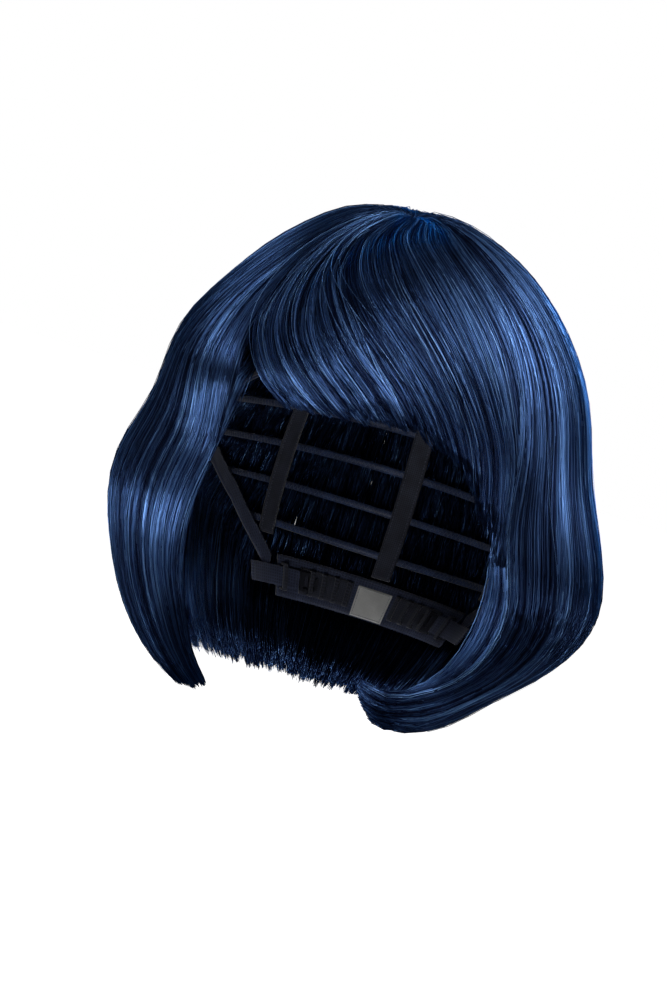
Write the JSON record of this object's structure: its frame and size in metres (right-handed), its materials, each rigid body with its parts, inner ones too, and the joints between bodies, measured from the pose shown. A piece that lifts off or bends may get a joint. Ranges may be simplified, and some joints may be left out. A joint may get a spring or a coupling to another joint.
{
  "type": "costume wig",
  "caption": "Chin-length glossy blue costume bob wig with a swept fringe, on a wefted cap with nape adjusters.",
  "frame": {"origin": "middle of the cap's head opening, level with the wearer's ears", "axes": "+Z to the crown, -Y to the wearer's face, +X to the wearer's left"},
  "size_m": [0.2081, 0.2229, 0.2165],
  "materials": {
    "hair_fibre": "glossy dark blue synthetic hair",
    "hair_weft": "stitched weft of dark blue fibre",
    "cap_net": "fine black elastic net",
    "cap_lace": "black stretch lace",
    "cap_ribbon": "navy satin ribbon",
    "cap_tape": "black woven tape",
    "elastic": "ribbed navy elastic",
    "velvet_patch": "soft navy velour",
    "hook_plastic": "black moulded plastic",
    "stay": "flexible translucent boning",
    "label": "white woven label, blank"
  },
  "bodies": {
    "cap": {"crown_patch": "velvet_patch", "crown_net": "cap_net", "front_panel": "cap_lace", "forehead_ribbon": "cap_ribbon", "side_panel_left": "cap_lace", "side_panel_right": "cap_lace", "rib_ear_left": "cap_tape", "rib_back_left": "cap_tape", "rib_centre": "cap_tape", "rib_back_right": "cap_tape", "rib_ear_right": "cap_tape", "rim_elastic_left": "elastic", "rim_elastic_right": "elastic", "nape_band": "cap_ribbon", "loop_tape_left": "cap_tape", "loop_tape_right": "cap_tape", "strap_keeper_left": "cap_tape", "strap_keeper_right": "cap_tape", "care_label": "label", "weft_crown_1": "hair_weft", "weft_crown_2": "hair_weft", "weft_crown_3": "hair_weft", "weft_crown_4": "hair_weft", "weft_fringe_1": "hair_weft", "weft_fringe_2": "hair_weft", "weft_side_left_1": "hair_weft", "weft_side_left_2": "hair_weft", "weft_side_left_3": "hair_weft", "weft_side_right_1": "hair_weft", "weft_side_right_2": "hair_weft", "weft_side_right_3": "hair_weft", "weft_back_1": "hair_weft", "weft_back_2": "hair_weft", "weft_back_3": "hair_weft", "weft_back_4": "hair_weft", "weft_back_5": "hair_weft", "weft_back_6": "hair_weft", "hair_crown_front": "hair_fibre", "hair_crown_left": "hair_fibre", "hair_crown_back": "hair_fibre", "hair_crown_right": "hair_fibre"},
    "fringe": {"hair_fringe": "hair_fibre"},
    "side_left": {"hair_side_left": "hair_fibre"},
    "side_right": {"hair_side_right": "hair_fibre"},
    "back_left": {"hair_back_left": "hair_fibre"},
    "back_centre": {"hair_back_centre": "hair_fibre"},
    "back_right": {"hair_back_right": "hair_fibre"},
    "ear_tab_left_body": {"ear_tab_left": "cap_ribbon", "ear_stay_left": "stay"},
    "ear_tab_right_body": {"ear_tab_right": "cap_ribbon", "ear_stay_right": "stay"},
    "adjuster_left": {"adjuster_hook_left": "hook_plastic", "adjuster_strap_left": "elastic"},
    "adjuster_right": {"adjuster_hook_right": "hook_plastic", "adjuster_strap_right": "elastic"}
  },
  "joints": [
    {"name": "fringe_lift", "type": "hinge", "parent": "cap", "child": "fringe", "pos_m": [0, -0.0802, 0.0898], "axis": [-1, 0, 0], "range_deg": [0, 35]},
    {"name": "side_left_swing", "type": "hinge", "parent": "cap", "child": "side_left", "pos_m": [0.0704, -0.0229, 0.0849], "axis": [-0.309, -0.9511, 0], "range_deg": [0, 25]},
    {"name": "side_right_swing", "type": "hinge", "parent": "cap", "child": "side_right", "pos_m": [-0.0724, -0.0337, 0.089], "axis": [-0.4226, 0.9063, 0], "range_deg": [0, 25]},
    {"name": "back_left_swing", "type": "hinge", "parent": "cap", "child": "back_left", "pos_m": [0.0699, 0.0404, 0.0881], "axis": [0.5, -0.866, 0], "range_deg": [0, 25]},
    {"name": "back_centre_lift", "type": "hinge", "parent": "cap", "child": "back_centre", "pos_m": [0, 0.0928, 0.0941], "axis": [1, 0, 0], "range_deg": [0, 30]},
    {"name": "back_right_swing", "type": "hinge", "parent": "cap", "child": "back_right", "pos_m": [-0.0735, 0.0424, 0.0906], "axis": [0.5, 0.866, 0], "range_deg": [0, 25]},
    {"name": "ear_tab_left_bend", "type": "hinge", "parent": "cap", "child": "ear_tab_left_body", "pos_m": [0.0724, -0.018, 0.0169], "axis": [-0.2419, -0.9703, 0], "range_deg": [-20, 4]},
    {"name": "ear_tab_right_bend", "type": "hinge", "parent": "cap", "child": "ear_tab_right_body", "pos_m": [-0.0724, -0.018, 0.0169], "axis": [-0.2419, 0.9703, 0], "range_deg": [-20, 4]},
    {"name": "adjuster_left_slide", "type": "hinge", "parent": "cap", "child": "adjuster_left", "pos_m": [0, 0.035, -0.034], "axis": [0, 0, 1], "range_deg": [0, 18]},
    {"name": "adjuster_right_slide", "type": "hinge", "parent": "cap", "child": "adjuster_right", "pos_m": [0, 0.035, -0.034], "axis": [0, 0, -1], "range_deg": [0, 18]}
  ]
}
